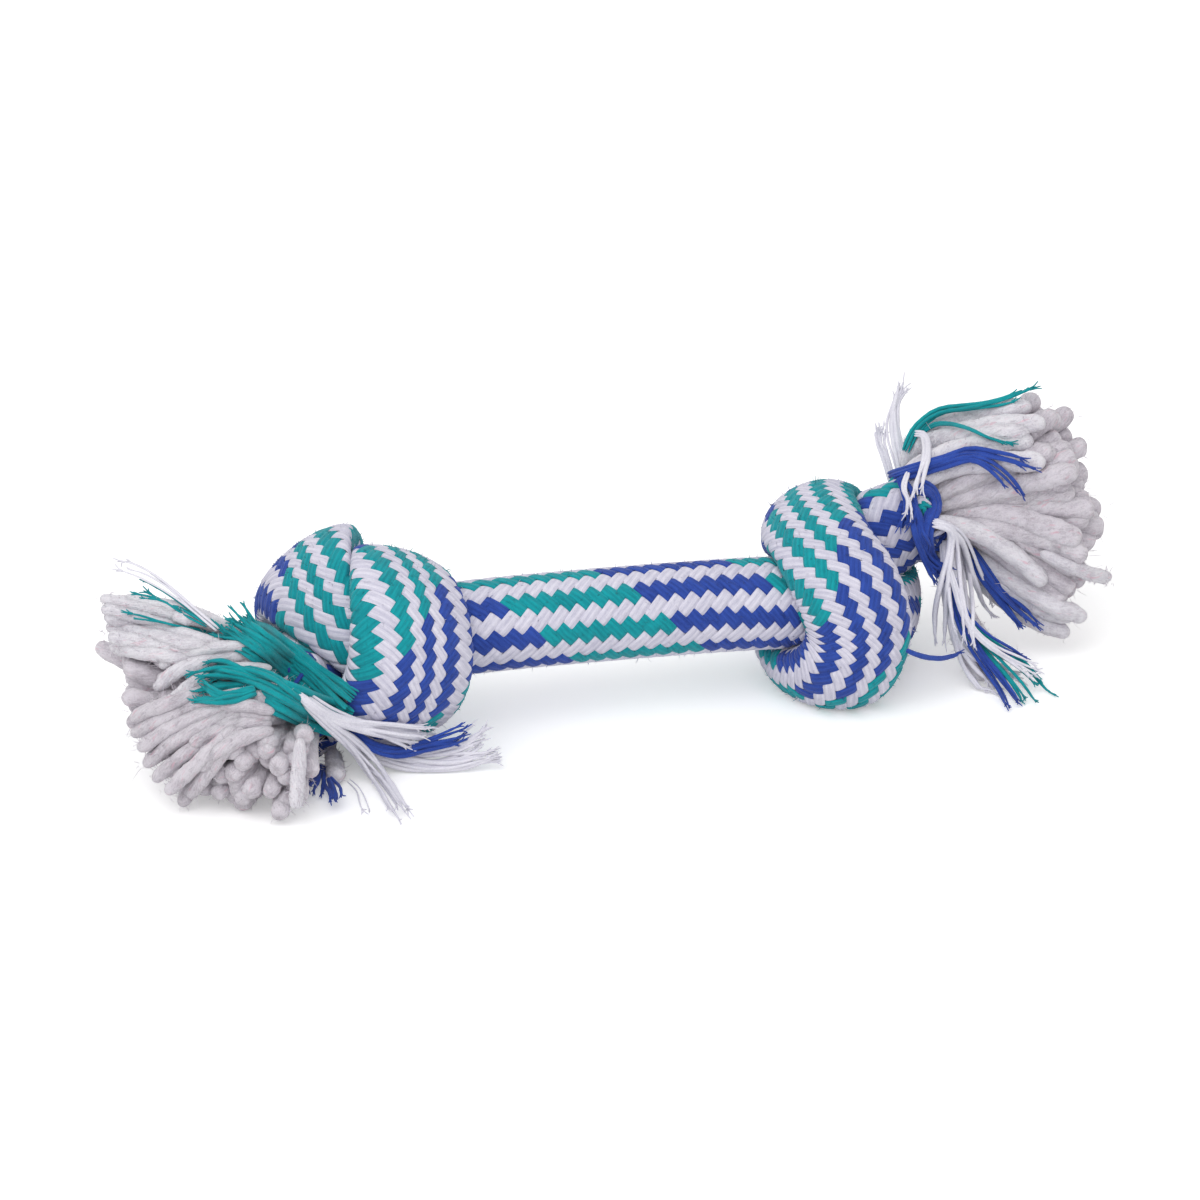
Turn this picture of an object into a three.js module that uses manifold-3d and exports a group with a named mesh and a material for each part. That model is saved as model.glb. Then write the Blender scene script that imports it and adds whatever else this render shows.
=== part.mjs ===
import * as THREE from 'three';
import { mergeVertices } from 'three/addons/utils/BufferGeometryUtils.js';
import Module from 'manifold-3d';

const wasm = await Module();
wasm.setup();

// Rope dog toy: one braided cotton rope with an overhand knot near each end.
// Millimetres, +Z up. The toy lies along X on both knots.

const cotton = {
  teal: 0x0d9aa0,
  blue: 0x2f4da6,
  white: 0xe6e2ea,
  paleTeal: 0x6fbcc2,
  paleBlue: 0x8796c8,
  core: 0xbfb6bf,
};

const rope = {
  diameter: 22,
  sleeveWall: 3,
  coreGap: 0.5,
  seamGap: 0.3,
};

// Strands that touch in a knot press each other flat and leave this gap.
const strandGap = 0.8;

// Distances from a knot's centre, in rope diameters, where the flattening acts.
const flatInsideShares = { inner: 0.25, full: 0.6 };
const flatOutsideShares = { full: 1.2, gone: 1.75 };

// Strands in a knot spread along its surface and thin across it, by shares of the rope.
const knots = {
  left: { centre: [-57, 0, 23], wideShare: 0.74, thinShare: 0.38 },
  right: { centre: [57, 0, 21], wideShare: 0.58, thinShare: 0.43 },
};

// The rope's centre line, from the left frayed end to the right one.
const routePoints = [
  [-76, -12, 15], [-71, -5, 17], [-66, 3, 21], [-58, 8, 27], [-53, 4, 35],
  [-51, -6, 38.5], [-50, -16, 35], [-51, -21, 25], [-54, -18, 15], [-56, -9, 9],
  [-58, 1, 7], [-61, 12, 9], [-64, 18, 16], [-66, 19, 26], [-67, 13, 35],
  [-67, 3, 36], [-64, -5, 31], [-57, -8, 26], [-46, -5, 25], [-33, -3, 25],
  [34, -1, 23], [46, -1, 22], [58, -2, 19], [66, 4, 14], [69, 16, 14],
  [67, 23, 20], [62, 23, 28], [55, 17, 34.5], [51.5, 6, 36.5], [51.5, -5, 35],
  [55, -13, 30], [57, -16, 20], [54, -14, 10], [50, -2, 6], [49, 10, 10],
  [53, 15, 19], [62, 12, 26], [70, 12, 32], [79, 13, 35],
];

// Where one named stretch of the rope ends and the next begins, as point numbers.
const seams = { leftEnd: 0, leftFace: 19, rightFace: 20, rightEnd: 38 };

const ringSides = 16;
const boreSides = 8;
const ringsPerPoint = 3;
const tracesPerRing = 4;

const route = new THREE.CatmullRomCurve3(routePoints.map((point) => new THREE.Vector3(...point)));
const lastPoint = routePoints.length - 1;
const traceCount = lastPoint * ringsPerPoint * tracesPerRing;
const trace = [];
for (let k = 0; k <= traceCount; k += 1) {
  trace.push({ centre: route.getPoint(k / traceCount), along: route.getTangent(k / traceCount) });
}

// Carry one sideways direction along the rope without twisting it.
trace[0].side = new THREE.Vector3(0, 0, 1).cross(trace[0].along).normalize();
trace[0].run = 0;
for (let k = 1; k < trace.length; k += 1) {
  const here = trace[k];
  const before = trace[k - 1];
  here.side = before.side.clone().addScaledVector(here.along, -before.side.dot(here.along)).normalize();
  here.run = before.run + here.centre.distanceTo(before.centre);
}

// The unpressed half width of the rope at a station, towards a direction.
function freeRadius(station, direction) {
  const half = rope.diameter / 2;
  let radius = half;
  for (const knot of Object.values(knots)) {
    const offset = station.centre.clone().sub(new THREE.Vector3(...knot.centre));
    const reach = offset.length() / rope.diameter;
    const outward = offset.addScaledVector(station.along, -offset.dot(station.along));
    const away = outward.length() / rope.diameter;
    const flat = THREE.MathUtils.smoothstep(away, flatInsideShares.inner, flatInsideShares.full)
      * (1 - THREE.MathUtils.smoothstep(reach, flatOutsideShares.full, flatOutsideShares.gone));
    if (flat > 0) {
      const across = direction.dot(outward.normalize());
      const thin = THREE.MathUtils.lerp(half, knot.thinShare * rope.diameter, flat);
      const wide = THREE.MathUtils.lerp(half, knot.wideShare * rope.diameter, flat);
      radius = 1 / Math.hypot(across / thin, Math.sqrt(Math.max(0, 1 - across * across)) / wide);
    }
  }
  return radius;
}

// The same, pressed halfway by each neighbouring strand and by the floor.
function pressedRadius(station, direction) {
  let radius = freeRadius(station, direction);
  for (const other of trace) {
    if (Math.abs(other.run - station.run) > rope.diameter / 2) {
      const between = other.centre.clone().sub(station.centre);
      const distance = between.length();
      const facing = direction.dot(between) / distance;
      if (facing > 0) radius = Math.min(radius, (distance - strandGap) / 2 / facing);
    }
  }
  if (direction.z < 0) radius = Math.min(radius, station.centre.z / -direction.z);
  return radius;
}

function ring(station, sides, inset) {
  const up = station.along.clone().cross(station.side);
  return Array.from({ length: sides }, (_, k) => {
    const turn = 2 * Math.PI * k / sides;
    const direction = station.side.clone()
      .multiplyScalar(Math.cos(turn))
      .addScaledVector(up, Math.sin(turn));
    return station.centre.clone().addScaledVector(direction, pressedRadius(station, direction) - inset);
  });
}

function stationsBetween(first, last, trimStart, trimEnd) {
  const stations = [];
  for (let k = first * ringsPerPoint; k <= last * ringsPerPoint; k += 1) {
    stations.push({ ...trace[k * tracesPerRing] });
  }
  const start = stations[0];
  const end = stations[stations.length - 1];
  start.centre = start.centre.clone().addScaledVector(start.along, trimStart);
  end.centre = end.centre.clone().addScaledVector(end.along, -trimEnd);
  return stations;
}

function closedGeometry(points, faces) {
  const geometry = new THREE.BufferGeometry();
  const places = points.flatMap((point) => point.toArray());
  geometry.setAttribute('position', new THREE.Float32BufferAttribute(places, 3));
  geometry.setIndex(faces.flat());
  geometry.computeVertexNormals();
  return geometry;
}

function wallFaces(ringCount, sides, offset, inward) {
  const faces = [];
  for (let k = 0; k < ringCount - 1; k += 1) {
    for (let j = 0; j < sides; j += 1) {
      const a = offset + k * sides + j;
      const b = offset + k * sides + (j + 1) % sides;
      const c = a + sides;
      const d = b + sides;
      faces.push(inward ? [a, c, b] : [a, b, c], inward ? [b, c, d] : [b, d, c]);
    }
  }
  return faces;
}

// A solid run of rings, closed with a flat fan at each end.
function loft(rings) {
  const sides = rings[0].length;
  const points = rings.flat();
  const faces = wallFaces(rings.length, sides, 0, false);
  const last = (rings.length - 1) * sides;
  for (let j = 1; j < sides - 1; j += 1) {
    faces.push([0, j + 1, j], [last, last + j, last + j + 1]);
  }
  return closedGeometry(points, faces);
}

// The sleeve: an outer wall and a bore with half as many sides, open at both ends.
function sleeve(stations) {
  const outer = stations.map((station) => ring(station, ringSides, 0));
  const inner = stations.map((station) => ring(station, boreSides, rope.sleeveWall));
  const points = [...outer.flat(), ...inner.flat()];
  const bore = outer.length * ringSides;
  const faces = [
    ...wallFaces(outer.length, ringSides, 0, false),
    ...wallFaces(inner.length, boreSides, bore, true),
  ];
  const endOuter = (outer.length - 1) * ringSides;
  const endInner = bore + (inner.length - 1) * boreSides;
  for (let j = 0; j < boreSides; j += 1) {
    const o = [2 * j, 2 * j + 1, (2 * j + 2) % ringSides];
    const i = [j, (j + 1) % boreSides];
    faces.push([o[0], bore + i[0], o[1]], [o[1], bore + i[0], bore + i[1]], [o[1], bore + i[1], o[2]]);
    faces.push([endOuter + o[0], endOuter + o[1], endInner + i[0]]);
    faces.push([endOuter + o[1], endInner + i[1], endInner + i[0]]);
    faces.push([endOuter + o[1], endOuter + o[2], endInner + i[1]]);
  }
  return closedGeometry(points, faces);
}

function core(stations) {
  return loft(stations.map((station) => ring(station, boreSides, rope.sleeveWall + rope.coreGap)));
}

function named(name, geometry, color, roughness) {
  const mesh = new THREE.Mesh(geometry, new THREE.MeshStandardMaterial({ color, roughness, metalness: 0 }));
  mesh.name = name;
  return mesh;
}

const toy = new THREE.Group();
const halfSeam = rope.seamGap / 2;
const leftKnot = stationsBetween(seams.leftEnd, seams.leftFace, halfSeam, halfSeam);
const centre = stationsBetween(seams.leftFace, seams.rightFace, halfSeam, halfSeam);
const rightKnot = stationsBetween(seams.rightFace, seams.rightEnd, halfSeam, halfSeam);
toy.add(named('left_knot_sleeve', sleeve(leftKnot), cotton.paleTeal, 0.9));
toy.add(named('left_knot_core', core(leftKnot), cotton.core, 0.95));
toy.add(named('centre_sleeve', sleeve(centre), cotton.paleBlue, 0.9));
toy.add(named('centre_core', core(centre), cotton.core, 0.95));
toy.add(named('right_knot_sleeve', sleeve(rightKnot), cotton.paleTeal, 0.9));
toy.add(named('right_knot_core', core(rightKnot), cotton.core, 0.95));


// The grey core yarns spread beyond each cut end like a mop. Its middle lies off
// the knot's centre, across is half its width and upward half its height.
const fans = {
  left: {
    yarns: 26,
    middle: [-96, -20, 19],
    across: [-21, 26, 5],
    upward: [2, 10, 18],
    bulge: 14,
  },
  right: {
    yarns: 26,
    middle: [105, 14, 31],
    across: [-5, 19, 0],
    upward: [0, 5, 27],
    bulge: 15,
  },
};
const yarn = {
  rootRadius: 1.05, tipRadius: 3.5, sides: 6, rings: 5, embedded: 1, plugLength: 3, straightShare: 0.36,
};
const fray = {
  rootRadius: 1.3, tipRadius: 0.8, sides: 5, rings: 7, strands: 3,
  rootPitch: 1.8, tipPitch: 2.5, rootGap: 0.9, clearance: 1.6, seat: 0.7, straight: 2.5,
};

const goldenAngle = Math.PI * (3 - Math.sqrt(5));
const sleeveToYarn = rope.sleeveWall + rope.coreGap + yarn.rootRadius;

function sideways(vector, along) {
  return vector.clone().addScaledVector(along, -vector.dot(along)).normalize();
}

// One end's fan starts on the last ring of the rope and looks out along it.
function openFan(fan, station, outward) {
  const along = station.along.clone().multiplyScalar(outward);
  const middle = new THREE.Vector3(...fan.middle);
  const across = new THREE.Vector3(...fan.across);
  const upward = new THREE.Vector3(...fan.upward);
  const rootAcross = sideways(across, along);
  return {
    ...fan,
    middle,
    across,
    upward,
    station,
    outward,
    along,
    root: station.centre.clone().addScaledVector(along, halfSeam),
    rootAcross,
    rootUpward: sideways(sideways(upward, rootAcross), along),
  };
}

// A yarn's path: out of the core along the rope, then bent to its place in the fan.
function fanCurve(fan, across, upward) {
  const towards = fan.rootAcross.clone().multiplyScalar(across).addScaledVector(fan.rootUpward, upward);
  const away = towards.length();
  const rootSpread = pressedRadius(fan.station, towards.normalize()) - sleeveToYarn;
  const start = fan.root.clone().addScaledVector(towards, away * rootSpread);
  const end = fan.middle.clone()
    .addScaledVector(fan.across, across)
    .addScaledVector(fan.upward, upward)
    .addScaledVector(fan.along, fan.bulge * (1 - across * across - upward * upward));
  end.z = Math.max(end.z, yarn.tipRadius);
  const turn = start.clone().addScaledVector(fan.along, start.distanceTo(end) * yarn.straightShare);
  return new THREE.QuadraticBezierCurve3(start, turn, end);
}

// A tapering strand along a curve, closed at both ends.
function strand(curve, sides, ringCount, startRadius, endRadius) {
  const frames = curve.computeFrenetFrames(ringCount - 1, false);
  const rings = [];
  for (let k = 0; k < ringCount; k += 1) {
    const share = k / (ringCount - 1);
    const radius = THREE.MathUtils.lerp(startRadius, endRadius, share * share);
    const centre = curve.getPointAt(share);
    rings.push(Array.from({ length: sides }, (_, j) => {
      const turn = 2 * Math.PI * j / sides;
      return centre.clone()
        .addScaledVector(frames.normals[k], radius * Math.cos(turn))
        .addScaledVector(frames.binormals[k], radius * Math.sin(turn));
    }));
  }
  return loft(rings);
}

function solid(geometry) {
  const bare = geometry.clone();
  bare.deleteAttribute('normal');
  const merged = mergeVertices(bare, 1e-4);
  return new wasm.Manifold(new wasm.Mesh({
    numProp: 3,
    vertProperties: new Float32Array(merged.attributes.position.array),
    triVerts: new Uint32Array(merged.index.array),
  }));
}

function fuse(geometries) {
  const mesh = geometries.map(solid).reduce((whole, piece) => whole.add(piece)).getMesh();
  const geometry = new THREE.BufferGeometry();
  geometry.setAttribute('position', new THREE.BufferAttribute(mesh.vertProperties, 3));
  geometry.setIndex(new THREE.BufferAttribute(mesh.triVerts, 1));
  geometry.computeVertexNormals();
  return geometry;
}

// The fanned core yarns, spaced like sunflower seeds and held by a slice of the core.
function tassel(fan) {
  const slice = [0, yarn.plugLength].map((length) => {
    const centre = fan.root.clone().addScaledVector(fan.along, length);
    return ring({ ...fan.station, centre }, boreSides, rope.sleeveWall + rope.coreGap);
  });
  const pieces = [loft(fan.outward > 0 ? slice : slice.reverse())];
  for (let k = 0; k < fan.yarns; k += 1) {
    const away = Math.sqrt((k + 0.5) / fan.yarns);
    const turn = k * goldenAngle;
    const curve = fanCurve(fan, away * Math.cos(turn), away * Math.sin(turn));
    curve.v0.addScaledVector(fan.along, yarn.plugLength - yarn.embedded);
    pieces.push(strand(curve, yarn.sides, yarn.rings, yarn.rootRadius, yarn.tipRadius));
  }
  return fuse(pieces);
}

// A point lying on the outside of the fan, as far round and along it as asked.
function overFan(fan, turn, share, lift) {
  const middle = fanCurve(fan, 0, 0).getPoint(share);
  const edgeCurve = fanCurve(fan, Math.cos(turn), Math.sin(turn));
  const edge = edgeCurve.getPoint(share);
  const yarnRadius = THREE.MathUtils.lerp(yarn.rootRadius, yarn.tipRadius, share * share);
  const resting = yarnRadius + fray.rootRadius + fray.rootGap + (fray.clearance + lift) * share;
  const outward = sideways(edge.clone().sub(middle), edgeCurve.getTangent(share));
  return edge.clone()
    .addScaledVector(outward, resting)
    .addScaledVector(fan.along, fray.seat);
}

// A bundle of sleeve yarns that lies over the fan. Turns are in degrees.
function lyingFray(fan, { from, to, reachShare, lift }) {
  const pieces = [];
  for (let j = 0; j < fray.strands; j += 1) {
    const aside = (j - (fray.strands - 1) / 2) * fray.rootPitch / (rope.diameter / 2 - fray.rootRadius);
    const points = [];
    for (let k = 0; k < fray.rings; k += 1) {
      const part = k / (fray.rings - 1);
      const turn = THREE.MathUtils.degToRad(THREE.MathUtils.lerp(from, to, part)) + aside;
      points.push(overFan(fan, turn, part * reachShare, lift));
    }
    const curve = new THREE.CatmullRomCurve3(points);
    pieces.push(strand(curve, fray.sides, fray.rings, fray.rootRadius, fray.tipRadius));
  }
  return fuse(pieces);
}

// A bundle that falls clear of the fan, through places given from the knot's centre.
function fallingFray(fan, knotCentre, turn, shares) {
  const start = overFan(fan, THREE.MathUtils.degToRad(turn), 0, 0);
  const middle = new THREE.Vector3(...knotCentre);
  const path = [
    start,
    start.clone().addScaledVector(fan.along, fray.straight),
    ...shares.map((share) => new THREE.Vector3(...share).multiplyScalar(rope.diameter).add(middle)),
  ];
  const last = path.length - 1;
  const tipAside = new THREE.Vector3(0, 0, 1).cross(path[last].clone().sub(start)).normalize();
  const rootAside = sideways(tipAside, fan.along);
  const pieces = [];
  for (let j = 0; j < fray.strands; j += 1) {
    const points = path.map((point, k) => {
      const pitch = THREE.MathUtils.lerp(fray.rootPitch, fray.tipPitch, k / last);
      const aside = rootAside.clone().lerp(tipAside, k / last);
      return point.clone().addScaledVector(aside, (j - (fray.strands - 1) / 2) * pitch);
    });
    const curve = new THREE.CatmullRomCurve3(points);
    pieces.push(strand(curve, fray.sides, fray.rings, fray.rootRadius, fray.tipRadius));
  }
  return fuse(pieces);
}

const leftFan = openFan(fans.left, trace[0], -1);
const rightFan = openFan(fans.right, trace[traceCount], 1);
toy.add(named('left_tassel_yarns', tassel(leftFan), cotton.core, 0.95));
toy.add(named('right_tassel_yarns', tassel(rightFan), cotton.core, 0.95));

const lyingFrays = {
  left_fray_teal_long: { fan: leftFan, color: cotton.teal, from: 60, to: 75, reachShare: 0.75, lift: 1 },
  left_fray_teal_short: { fan: leftFan, color: cotton.teal, from: 105, to: 125, reachShare: 0.6, lift: 0 },
  left_fray_white_front: {
    fan: leftFan, color: cotton.white, from: 160, to: 175, reachShare: 0.85, lift: 2,
  },
  left_fray_white_back: { fan: leftFan, color: cotton.white, from: 5, to: 20, reachShare: 0.7, lift: 4 },
  right_fray_teal_top: { fan: rightFan, color: cotton.teal, from: 80, to: 90, reachShare: 0.8, lift: 2 },
  right_fray_blue_top: { fan: rightFan, color: cotton.blue, from: 125, to: 135, reachShare: 0.8, lift: 0 },
  right_fray_white_back: { fan: rightFan, color: cotton.white, from: 20, to: 20, reachShare: 0.6, lift: 1 },
};
for (const [name, { fan, color, ...lay }] of Object.entries(lyingFrays)) {
  toy.add(named(name, lyingFray(fan, lay), color, 0.9));
}

// Places in rope diameters from the knot's centre.
const leftWhiteSideShares = [
  [-0.5, -1.2, -0.86], [-0.1, -1.5, -0.94], [0.7, -1.4, -0.94], [1.2, -1.1, -0.94],
];
const rightWhiteFrontShares = [[1.15, -0.1, 0.5], [1.2, -0.6, 0.1], [1.15, -0.9, -0.3]];
const rightMixedLowShares = [[1.5, 0.1, 0.2], [1.75, -0.3, -0.4], [1.9, -0.45, -0.88]];

const fallingFrays = {
  left_fray_blue_side: [leftFan, knots.left.centre, 235, leftWhiteSideShares, cotton.blue],
  right_fray_white_front: [rightFan, knots.right.centre, 180, rightWhiteFrontShares, cotton.white],
  right_fray_blue_low: [rightFan, knots.right.centre, 225, rightMixedLowShares, cotton.blue],
};
for (const [name, [fan, knotCentre, turn, shares, color]] of Object.entries(fallingFrays)) {
  toy.add(named(name, fallingFray(fan, knotCentre, turn, shares), color, 0.9));
}

// The least gap between two strands of a knot, measured on the sleeve's own points.
function leastGap(stations) {
  let least = Infinity;
  const rings = stations.map((station) => ring(station, ringSides, 0));
  const runs = stations.map((station) => station.run);
  for (let a = 0; a < rings.length; a += 1) {
    for (let b = a + 1; b < rings.length; b += 1) {
      if (runs[b] - runs[a] > 2 * rope.diameter) {
        for (const p of rings[a]) for (const q of rings[b]) least = Math.min(least, p.distanceTo(q));
      }
    }
  }
  return least;
}
console.log('left knot least gap', leastGap(leftKnot).toFixed(2));
console.log('right knot least gap', leastGap(rightKnot).toFixed(2));


// The origin sits under the middle of the toy.
const box = new THREE.Box3().setFromObject(toy);
const boxMiddle = box.getCenter(new THREE.Vector3());
toy.position.set(-boxMiddle.x, -boxMiddle.y, 0);
console.log('box', box.min.toArray(), box.max.toArray());

export default toy;
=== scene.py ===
import math
import random
import bmesh
import bpy
import numpy as np
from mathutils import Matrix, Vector
from mathutils.bvhtree import BVHTree


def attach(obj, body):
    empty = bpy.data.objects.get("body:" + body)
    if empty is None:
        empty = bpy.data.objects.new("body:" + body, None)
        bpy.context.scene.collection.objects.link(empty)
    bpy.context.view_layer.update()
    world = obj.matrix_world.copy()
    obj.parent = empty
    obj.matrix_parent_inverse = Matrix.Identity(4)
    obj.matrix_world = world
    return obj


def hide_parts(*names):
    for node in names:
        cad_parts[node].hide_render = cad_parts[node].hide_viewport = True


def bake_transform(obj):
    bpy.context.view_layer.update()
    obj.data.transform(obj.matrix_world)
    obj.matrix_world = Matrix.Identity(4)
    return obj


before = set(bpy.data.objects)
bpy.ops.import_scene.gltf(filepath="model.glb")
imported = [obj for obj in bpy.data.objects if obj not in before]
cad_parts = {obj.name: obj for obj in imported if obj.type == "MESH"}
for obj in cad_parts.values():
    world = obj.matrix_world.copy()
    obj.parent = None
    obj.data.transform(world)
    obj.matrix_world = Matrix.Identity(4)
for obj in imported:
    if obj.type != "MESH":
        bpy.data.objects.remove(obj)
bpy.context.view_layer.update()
print("frame loaded")

# camera at the photograph's angle, long lens from about a metre and a half
photoView = {"azimuth": -13.0, "elevation": 25.0, "distance": 1.4, "lens": 177.8, "target": (0.0004, 0.0181, 0.0218)}


def addCamera():
    azimuth = math.radians(photoView["azimuth"])
    elevation = math.radians(photoView["elevation"])
    forward = Vector((-math.sin(azimuth) * math.cos(elevation), math.cos(azimuth) * math.cos(elevation),
                      -math.sin(elevation)))
    data = bpy.data.cameras.new("photoCamera")
    data.lens = photoView["lens"]
    data.sensor_width = 36.0
    camera = bpy.data.objects.new("photoCamera", data)
    camera.location = Vector(photoView["target"]) - forward * photoView["distance"]
    camera.rotation_euler = forward.to_track_quat("-Z", "Y").to_euler()
    bpy.context.collection.objects.link(camera)
    bpy.context.scene.camera = camera


addCamera()

# the rope's centre line, left frayed end to right frayed end, in millimetres before the shift
rope = {
    "diameter": 0.022,
    "shift": (-0.00066, 0.00667, 0.0),
    "strandGap": 0.0001,
    "leftFace": (-0.03366, 0.00367, 0.025),
    "rightFace": (0.03334, 0.00567, 0.023),
    "step": 0.0004,
    "angles": 72,
    "outsidePitchShare": 0.75,
    "crowding": 0.22,
}
# how the braid lies in the knots, evenly spaced down the rope: its twist in degrees and its slip in stitches
braidLay = [
    (-17, -0.1), (-38, -0.3), (-30, -1.1), (-48, -1.7), (-44, -2.1), (5, 0.7), (41, 3.4),
    (38, 2.8), (10, 0.8), (6, -0.4), (4, -0.2), (0, -0.1), (7, 0.0), (45, 1.6),
    (89, 4.0), (85, 3.8), (57, 3.6), (38, 3.5), (23, 2.8), (24, 2.4), (25, 2.0),
]
knots = [
    {"centre": (-57, 0, 23), "wideShare": 0.74, "thinShare": 0.38},
    {"centre": (57, 0, 21), "wideShare": 0.58, "thinShare": 0.43},
]
routePoints = [
    (-76, -12, 15), (-71, -5, 17), (-66, 3, 21), (-58, 8, 27), (-53, 4, 35),
    (-51, -6, 38.5), (-50, -16, 35), (-51, -21, 25), (-54, -18, 15), (-56, -9, 9),
    (-58, 1, 7), (-61, 12, 9), (-64, 18, 16), (-66, 19, 26), (-67, 13, 35),
    (-67, 3, 36), (-64, -5, 31), (-57, -8, 26), (-46, -5, 25), (-33, -3, 25),
    (34, -1, 23), (46, -1, 22), (58, -2, 19), (66, 4, 14), (69, 16, 14),
    (67, 23, 20), (62, 23, 28), (55, 17, 34.5), (51.5, 6, 36.5), (51.5, -5, 35),
    (55, -13, 30), (57, -16, 20), (54, -14, 10), (50, -2, 6), (49, 10, 10),
    (53, 15, 19), (62, 12, 26), (70, 12, 32), (79, 13, 35),
]
seamPoints = {"leftFace": 19, "rightFace": 20}


def placed(point):
    return np.array(point, float) * 0.001 + np.array(rope["shift"])


def smoothStep(value, low, high):
    share = np.clip((value - low) / (high - low), 0.0, 1.0)
    return share * share * (3.0 - 2.0 * share)


def lerp(low, high, share):
    return low + (high - low) * share


def unit(vector):
    return vector / np.maximum(np.linalg.norm(vector, axis=-1, keepdims=True), 1e-12)


def softened(values, width):
    # a short running average with soft ends along the first axis
    if values.ndim == 1:
        return softened(values[:, None], width)[:, 0]
    reach = int(width * 3) + 1
    kernel = np.exp(-0.5 * (np.arange(-reach, reach + 1) / width) ** 2)
    kernel /= kernel.sum()
    padded = np.concatenate([
        2 * values[:1] - values[1:reach + 1][::-1],
        values,
        2 * values[-1:] - values[-reach - 1:-1][::-1],
    ])
    return np.stack([np.convolve(padded[:, k], kernel, "valid") for k in range(values.shape[1])], 1)


def smoothPath(points, perPoint):
    # centripetal Catmull-Rom through the points
    points = np.array(points, float)
    ends = np.concatenate([[2 * points[0] - points[1]], points, [2 * points[-1] - points[-2]]])
    gaps = np.sqrt(np.linalg.norm(np.diff(ends, axis=0), axis=1))
    path = []
    for k in range(len(points) - 1):
        a, b, c, d = ends[k:k + 4]
        before, here, after = gaps[k:k + 3]
        startSlope = ((b - a) / before - (c - a) / (before + here) + (c - b) / here) * here
        endSlope = ((c - b) / here - (d - b) / (here + after) + (d - c) / after) * here
        for step in range(perPoint):
            t = step / perPoint
            path.append(
                (2 * t**3 - 3 * t**2 + 1) * b + (t**3 - 2 * t**2 + t) * startSlope
                + (3 * t**2 - 2 * t**3) * c + (t**3 - t**2) * endSlope
            )
    path.append(points[-1])
    return np.array(path)


def runAlong(path):
    return np.concatenate([[0.0], np.cumsum(np.linalg.norm(np.diff(path, axis=0), axis=1))])


def sampleAt(where, runs, values):
    if values.ndim == 1:
        return np.interp(where, runs, values)
    return np.stack([np.interp(where, runs, values[:, k]) for k in range(values.shape[1])], -1)


def carriedFrames(along, firstSide, start):
    # one sideways direction carried along the rope without twist, both ways from the start
    side = np.zeros_like(along)
    side[start] = unit(firstSide - along[start] * firstSide.dot(along[start]))
    for k in range(start + 1, len(along)):
        side[k] = unit(side[k - 1] - along[k] * side[k - 1].dot(along[k]))
    for k in range(start - 1, -1, -1):
        side[k] = unit(side[k + 1] - along[k] * side[k + 1].dot(along[k]))
    return side, np.cross(along, side)


class Rope:
    pass


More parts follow.
